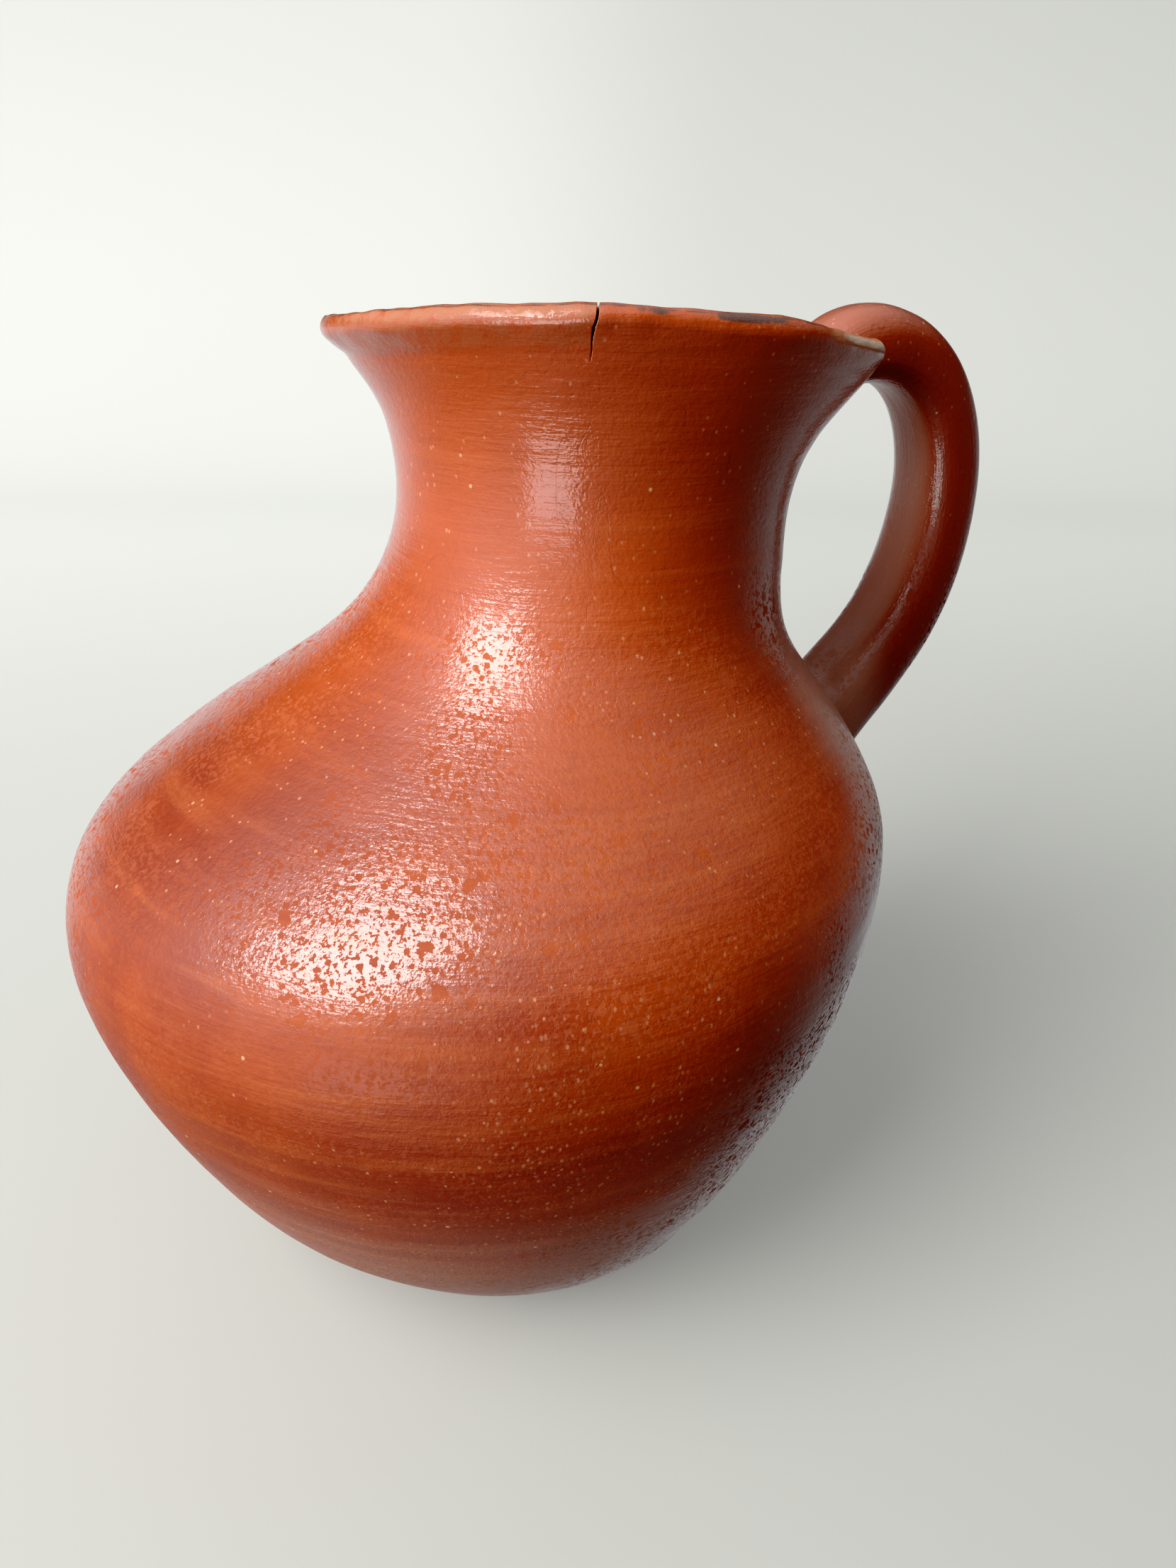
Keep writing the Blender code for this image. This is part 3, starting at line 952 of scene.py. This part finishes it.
class Slip:
    """The material: red slip rubbed to a gloss. Its patterns are laid out in millimetres."""

    def __init__(self):
        self.n = n = Nodes(bpy.data.materials.new("burnished_slip"))
        self.place = n.scaled(n.add("TexCoord").outputs["Object"], 1000.0)
        self.up = n.dot(self.place, UP)
        stroke = n.attribute("stroke", "Vector")
        self.clouds = n.noise(self.place, 0.028, detail=3.0, roughness=0.55)
        self.streaks = n.noise(stroke, 0.6, detail=4.0, roughness=0.6)
        self.fine_streaks = n.noise(stroke, 2.6, detail=3.0, roughness=0.6)
        self.mottle = n.noise(self.place, 0.55, detail=3.0, roughness=0.6)
        self.grain = n.noise(self.place, 1.1, roughness=0.6)
        self.fine_grain = n.noise(self.place, 2.6, detail=1.0)
        self.dull_spots = self.make_dull_spots()
        self.hair = self.make_hair_cracks()
        self.veil = self.make_veil()
        breakup = n.noise(self.place, 0.5, detail=4.0, roughness=0.65)
        self.breakup = breakup
        self.lip = n.attribute("lip_wear")
        self.inside = n.attribute("inside")
        worn_lip = n.math("ADD", self.lip, n.times(breakup, 0.9))
        self.worn_lip = n.ramp(worn_lip, 0.75, 1.15)
        worn_foot = n.math("ADD", n.attribute("foot_wear"), n.times(breakup, 0.7))
        self.worn_foot = n.ramp(worn_foot, 0.75, 1.2)

    def make_dull_spots(self):
        """Pits, chips and dull grain, in patches. There are few of them high on the neck."""
        n = self.n
        pits = n.spots(self.place, scale=0.62, high=0.30, low=0.24, channel=0, pick=0.3,
                       wobble=self.grain, wobble_size=0.6)
        chips = n.spots(self.place, scale=0.29, high=0.27, low=0.24, channel=1, pick=0.7,
                        wobble=self.mottle, wobble_size=1.0)
        matte = n.ramp(n.noise(self.place, 1.5, roughness=0.6), 0.545, 0.585)
        patch = n.ramp(n.noise(self.place, 0.06), 0.30, 0.52)
        low_enough = n.mix_value(n.ramp(self.up, 122.0, 110.0), 0.1, 1.0)
        return n.times(n.highest(pits, chips, matte), patch, low_enough)

    def make_flecks(self):
        """Pale flecks: sparse ones in wide patches, and close ones low on the front."""
        n = self.n
        sparse = n.spots(n.scaled(self.place, (1.0, 1.0, 0.7)), scale=0.8, high=0.19, low=0.11,
                         channel=2, pick=0.45, wobble=self.grain, wobble_size=0.25)
        wide_patches = n.ramp(n.noise(self.place, 0.035), 0.42, 0.58)
        close = n.spots(n.scaled(self.place, (1.0, 1.0, 0.6)), scale=1.15, high=0.31, low=0.12,
                        channel=2, pick=0.3, wobble=self.grain, wobble_size=0.4)
        facing = n.ramp(n.dot(self.place, LOW_FRONT), 22.0, 46.0)
        low = n.ramp(self.up, 92.0, 66.0)
        small_patches = n.ramp(n.noise(self.place, 0.12), 0.36, 0.55)
        return n.highest(n.times(sparse, wide_patches), n.times(close, facing, low, small_patches))

    def make_grit(self):
        n = self.n
        cells = n.add("TexVoronoi", Vector=self.place, Scale=0.22)
        chance = n.add("SeparateColor", Color=cells.outputs["Color"]).outputs[2]
        grains = n.ramp(cells.outputs["Distance"], 0.075, 0.045)
        return n.times(grains, n.math("GREATER_THAN", chance, 0.62))

    def make_hair_cracks(self):
        """Fine upright cracks on the neck."""
        n = self.n
        craze = n.noise(n.scaled(self.place, (1.0, 1.0, 0.15)), 0.085)
        lines = n.ramp(n.math("ABSOLUTE", n.math("SUBTRACT", craze, 0.5)), 0.003, 0.0005)
        on_neck = n.ramp(self.up, 98.0, 108.0)
        patches = n.ramp(n.noise(self.place, 0.05, detail=1.0), 0.5, 0.56)
        return n.times(lines, on_neck, patches)

    def make_veil(self):
        """Where the slip was left without rubbing, and where a pale reflection of the surroundings
        is painted, with an uneven edge.
        """
        n = self.n
        uneven = n.math("ADD", n.times(self.streaks, 0.35), n.times(self.clouds, 0.45))
        unrubbed_and_reflection = n.times(n.attribute("unrubbed_and_reflection"), 1.2)
        return n.ramp(n.math("ADD", unrubbed_and_reflection, uneven), 0.6, 1.45)

    def colour(self):
        n = self.n
        colour = n.mix(n.ramp(self.clouds, 0.38, 0.68), SLIP_RED, SLIP_DEEP)
        for mask, strength, tone in (
            (n.ramp(self.streaks, 0.48, 0.72), 0.5, SLIP_PALE),
            (n.ramp(self.fine_streaks, 0.5, 0.75), 0.3, SLIP_DEEP),
            (n.ramp(self.mottle, 0.5, 0.75), 0.3, SLIP_PALE),
            (n.ramp(self.grain, 0.5, 0.62), 0.28, SLIP_DEEP),
            # Painted light: the neck and shoulder are made brighter and more orange.
            (n.ramp(self.up, 88.0, 116.0), 0.38, PAINTED_NECK_LIGHT),
            # Painted shade: the handle is darkened.
            (n.attribute("deep"), 0.85, SLIP_DEEP),
            # The pale veil: slip left without rubbing, and a painted reflection.
            (self.veil, 0.6, UNRUBBED_AND_REFLECTION),
            (self.dull_spots, 0.12, SLIP_DUSTY),
            (self.make_flecks(), 0.55, FLECK),
            (self.make_grit(), 0.8, GRIT),
            (self.hair, 0.35, SLIP_DEEP),
        ):
            colour = n.tint(colour, mask, strength, tone)
        return self.wear(colour)

    def wear(self, colour):
        """The colour with the worn lip and foot, the bare inside, the soot smudges, a painted shade
        line along the rim's top, and the crack with painted shade in it.
        """
        n = self.n
        lip_tone = n.mix(n.ramp(self.lip, 0.75, 1.0), LIP_TAN, LIP_END)
        soot_and_shade_breakup = n.noise(self.place, 0.32, detail=3.0, roughness=0.6)
        soot_and_shade = n.times(n.attribute("stain_and_shade"), n.math("ADD", soot_and_shade_breakup, 0.45))
        for mask, strength, tone in (
            (n.attribute("lip_band"), n.ramp(self.breakup, 0.3, 0.6), LIP_BAND),
            (self.worn_lip, 1.0, lip_tone),
            (self.worn_foot, 1.0, BARE_CLAY),
            (self.inside, 1.0, BARE_CLAY),
            # Soot smudges, and the painted shade line along the rim's top.
            (n.ramp(soot_and_shade, 0.5, 0.75), 0.85, SOOT_AND_SHADE),
            # Painted shade in the crack.
            (n.attribute("crack"), 1.0, CRACK_SHADE),
        ):
            colour = n.tint(colour, mask, strength, tone)
        return colour

    def gloss(self):
        """The roughness, and the weight of the coat, which is the rubbed skin."""
        n = self.n
        dull = n.highest(self.worn_lip, self.worn_foot, self.inside, self.dull_spots)
        roughness = n.mix_value(n.ramp(self.streaks, 0.35, 0.7), 0.46, 0.56)
        roughness = n.mix_value(dull, roughness, 0.75)
        facing = n.ramp(n.dot(self.place, LEFT_FRONT), 40.0, 62.0)
        less_rubbed = n.times(n.ramp(self.up, 80.0, 74.0), facing)
        coat = n.times(
            n.mix_value(dull, 1.0, 0.0),
            n.mix_value(self.veil, 1.0, 0.45),
            n.mix_value(less_rubbed, 1.0, 0.12),
        )
        return roughness, coat

    def bump(self):
        """Pits and rubbing marks too fine for the mesh, in millimetres."""
        n = self.n
        height = n.times(self.dull_spots, -0.012)
        for source, size in (
            (self.streaks, 0.1),
            (self.fine_streaks, 0.08),
            (self.grain, 0.07),
            (self.fine_grain, 0.03),
            (self.hair, -0.008),
        ):
            height = n.math("ADD", height, n.times(source, size))
        return n.add("Bump", Strength=1.0, Distance=MM, Height=height).outputs["Normal"]

    def material(self):
        roughness, coat = self.gloss()
        normal = self.bump()
        self.n.shade({
            "Base Color": self.colour(),
            "Roughness": roughness,
            "Coat Weight": coat,
            "Coat Roughness": 0.1,
            "IOR": 1.5,
            "Specular IOR Level": 0.45,
            "Normal": normal,
            "Coat Normal": normal,
        })
        return self.n.owner


def fit_out(pieces, material):
    """Each piece stands for its CAD node, which is hidden, takes the material and rides on the one
    body.
    """
    for node, piece in pieces.items():
        piece.data.materials.append(material)
        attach(piece, "root")
        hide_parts(node)


CAMERA_PLACE = Vector((-72.0 * MM + FOOT_X, -157.1 * MM, 158.8 * MM))
CAMERA_TURN = math.radians(-28.0)
CAMERA_PITCH = math.radians(25.06)
CAMERA_ROLL = math.radians(0.6)
CAMERA_LENS = 26.04
CAMERA_SENSOR = 36.0
CAMERA_NEAREST = 0.005
# The way the camera looks over the floor, and the way to its right. The stage is square to them.
HEADING = (-math.sin(CAMERA_TURN), math.cos(CAMERA_TURN), 0.0)
TO_THE_RIGHT = (HEADING[1], -HEADING[0], 0.0)

# The floor and backdrop, which a small glow of their own keeps pale.
PAPER = (0.33, 0.334, 0.311)
PAPER_CLOUD = 0.96
GLOW_COLOUR = (0.985, 1.0, 0.95, 1.0)
GLOW_LEFT = 0.27
GLOW_RIGHT = 0.13
GLOW_SPAN = 0.14
GLOW_BEHIND = 0.22
GLOW_BEHIND_FROM = 0.55
BACKDROP_DEPTH = 0.62
BACKDROP_HEIGHT = 1.1
BACKDROP_BEND = 0.35
BACKDROP_BEND_ROWS = 24
BACKDROP_HALF_WIDTH = 1.6
BACKDROP_NEAR = 1.2


def stage_material():
    n = Nodes(bpy.data.materials.new("backdrop_paper"))
    place = n.add("TexCoord").outputs["Object"]
    clouds = n.noise(place, 4.0)
    clouded = tuple(PAPER_CLOUD * channel for channel in PAPER)
    to_the_left = n.ramp(n.dot(place, TO_THE_RIGHT), GLOW_SPAN, -GLOW_SPAN)
    behind = n.ramp(n.dot(place, HEADING), 0.0, GLOW_BEHIND_FROM)
    glow = n.mix_value(to_the_left, GLOW_RIGHT, GLOW_LEFT)
    glow = n.math("ADD", glow, n.times(behind, GLOW_BEHIND))
    n.shade({
        "Base Color": n.mix(clouds, PAPER, clouded),
        "Roughness": 0.9,
        "Specular IOR Level": 0.2,
        "Emission Color": GLOW_COLOUR,
        "Emission Strength": glow,
    })
    return n.owner


def backdrop():
    """A pale floor that curves up behind the pitcher, square to the camera's heading."""
    side = [(-BACKDROP_NEAR, 0.0)]
    for turn in np.linspace(0.0, math.pi / 2, BACKDROP_BEND_ROWS):
        away = BACKDROP_DEPTH + BACKDROP_BEND * math.sin(turn)
        side.append((away, BACKDROP_BEND * (1 - math.cos(turn))))
    side.append((BACKDROP_DEPTH + BACKDROP_BEND, BACKDROP_HEIGHT))
    heading, right = np.array(HEADING), np.array(TO_THE_RIGHT)
    vertices = []
    for away, up in side:
        for across in (-BACKDROP_HALF_WIDTH, BACKDROP_HALF_WIDTH):
            place = heading * away + right * across + up * np.array(UP)
            vertices.append(tuple(place))
    faces = [(2 * i, 2 * i + 1, 2 * i + 3, 2 * i + 2) for i in range(len(side) - 1)]
    mesh = bpy.data.meshes.new("backdrop")
    mesh.from_pydata(vertices, [], faces)
    mesh.shade_smooth()
    mesh.materials.append(stage_material())
    item = new_object("backdrop", mesh)
    item.visible_diffuse = False
    item.visible_glossy = False
    item.visible_shadow = False


def camera():
    data = bpy.data.cameras.new("camera")
    data.lens = CAMERA_LENS
    data.sensor_width = CAMERA_SENSOR
    data.sensor_fit = "AUTO"
    data.clip_start = CAMERA_NEAREST
    data.dof.use_dof = False
    item = new_object("camera", data)
    item.location = CAMERA_PLACE
    turn = Matrix.Rotation(CAMERA_TURN, 4, "Z")
    pitch = Matrix.Rotation(math.pi / 2 - CAMERA_PITCH, 4, "X")
    roll = Matrix.Rotation(CAMERA_ROLL, 4, "Z")
    item.rotation_euler = (turn @ pitch @ roll).to_euler()
    bpy.context.scene.camera = item


DAYLIGHT = (1.0, 0.99, 0.965)
# The points on the belly and on the neck that the lights face.
SHINE_POINT = Vector((-0.0620, -0.0430, 0.0830))
NECK_POINT = Vector((-0.02, -0.02, 0.13))
LIGHT_DISTANCE = 1.6


def area_light(name, azimuth, elevation, size, power, aim=SHINE_POINT):
    """A soft rectangular light in a direction from the aim, in degrees, facing it."""
    data = bpy.data.lights.new(name, "AREA")
    data.shape = "RECTANGLE"
    data.size, data.size_y = size
    data.energy = power
    data.color = DAYLIGHT
    item = new_object(name, data)
    azimuth, elevation = math.radians(azimuth), math.radians(elevation)
    flat = math.cos(elevation)
    direction = Vector((flat * math.cos(azimuth), flat * math.sin(azimuth), math.sin(elevation)))
    item.location = aim + direction * LIGHT_DISTANCE
    item.rotation_euler = direction.to_track_quat("Z", "Y").to_euler()
    return item


ROOM_WALLS = 0.024
ROOM_CEILING = 0.7
ROOM_GLOW = 0.58
ROOM_CLOTH_NEAR = 0.15
ROOM_CLOTH_FAR = 0.82
ROOM_SEEN = 0.7
ROOM_COLOUR = (0.97, 0.99, 1.0, 1.0)
WINDOW_DIRECTION = (-0.94, -0.17, 0.29)


def room_world():
    """The room as the clay reflects it, and a plain pale one where the camera sees it directly.

    It has dim walls, a lighter ceiling, a glow round the window, and pale cloth below.
    """
    world = bpy.data.worlds.new("room")
    n = Nodes(world, "Background")
    place = n.add("TexCoord").outputs["Generated"]
    up = n.dot(place, UP)
    ceiling = n.times(n.ramp(up, 0.3, 1.0), ROOM_CEILING)
    glow = n.times(n.ramp(n.dot(place, WINDOW_DIRECTION), 0.3, 1.0), ROOM_GLOW)
    away = n.ramp(n.dot(place, HEADING), -0.1, 0.7)
    to_the_right = n.ramp(n.dot(place, TO_THE_RIGHT), 0.0, 0.6)
    cloth = n.times(
        n.mix_value(away, ROOM_CLOTH_NEAR, ROOM_CLOTH_FAR),
        n.ramp(up, 0.2, -0.1),
        n.mix_value(to_the_right, 1.0, 0.45),
        n.mix_value(n.ramp(up, -0.2, -0.7), 1.0, 0.7),
    )
    total = n.math("ADD", n.math("ADD", ceiling, glow), n.math("ADD", cloth, ROOM_WALLS))
    seen = n.add("LightPath").outputs["Is Camera Ray"]
    n.shade({"Color": ROOM_COLOUR, "Strength": n.mix_value(seen, total, ROOM_SEEN)})
    bpy.context.scene.world = world


TONE_TOE = ((0.0, 0.0), (0.02, 0.003), (0.05, 0.03), (0.1, 0.09), (0.16, 0.16), (0.4, 0.405),
            (1.0, 1.0))
COMBINED_CURVE = 3


def tone():
    """Plain colours, with a little more depth in the darkest tones."""
    view = bpy.context.scene.view_settings
    view.view_transform = "Standard"
    view.use_curve_mapping = True
    curve = view.curve_mapping.curves[COMBINED_CURVE]
    curve.points[0].location = TONE_TOE[0]
    curve.points[1].location = TONE_TOE[-1]
    for point in TONE_TOE[1:-1]:
        curve.points.new(*point)
    view.curve_mapping.update()


def studio():
    """Window light from the left. Some lights only fill and some only shine."""
    area_light("window", -168.0, 50.0, (0.94, 1.1), 28.0)
    shine = area_light("window_shine", -168.0, 49.0, (0.8, 0.9), 13.0)
    shine.visible_diffuse = False
    fill = area_light("window_fill", -178.0, 14.0, (1.1, 1.05), 21.5)
    fill.visible_glossy = False
    glint = area_light("cloth_on_neck", -142.0, -19.0, (0.8, 0.8), 8.5, NECK_POINT)
    glint.visible_diffuse = False
    room_world()
    tone()


def main():
    camera()
    grid, wall_pieces = build_wall()
    handle_pieces = build_handle(grid)
    material = Slip().material()
    fit_out(wall_pieces, material)
    fit_out(handle_pieces, material)
    backdrop()
    studio()


main()
